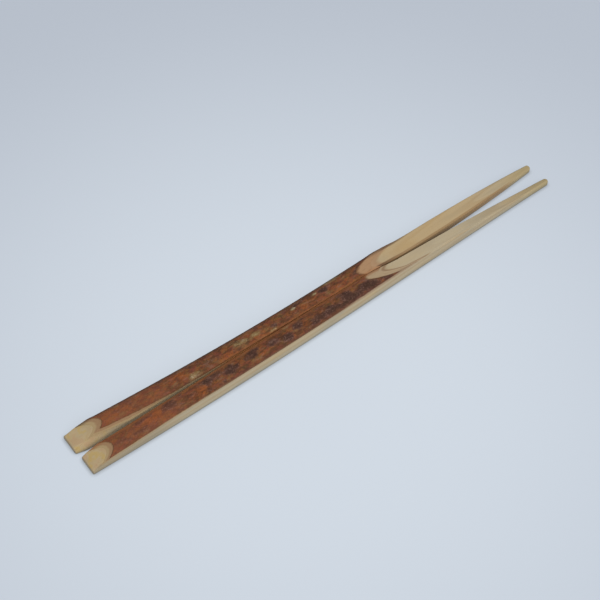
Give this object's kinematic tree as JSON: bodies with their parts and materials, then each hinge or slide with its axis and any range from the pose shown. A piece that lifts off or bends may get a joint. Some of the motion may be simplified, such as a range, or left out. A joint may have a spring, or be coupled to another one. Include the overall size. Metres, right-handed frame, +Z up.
{
  "type": "pair of wooden chopsticks",
  "caption": "Hand-whittled wooden chopsticks lying side by side: flat undersides, rounded bark left on the grips, oblique butt facets, and a long taper to blunt tips for picking up food.",
  "frame": {"origin": "on the table, under the middle of the pair's bounding box", "axes": "+X from butts to tips, +Y from the front stick to the rear one, +Z up from the flat undersides"},
  "size_m": [0.2308, 0.0204, 0.0081],
  "materials": {
    "sapwood": "matte, knife-cut",
    "bark": "rough"
  },
  "bodies": {
    "root": {"rear_stick_wood": "sapwood", "rear_stick_bark": "bark", "front_stick_wood": "sapwood", "front_stick_bark": "bark"}
  },
  "joints": []
}
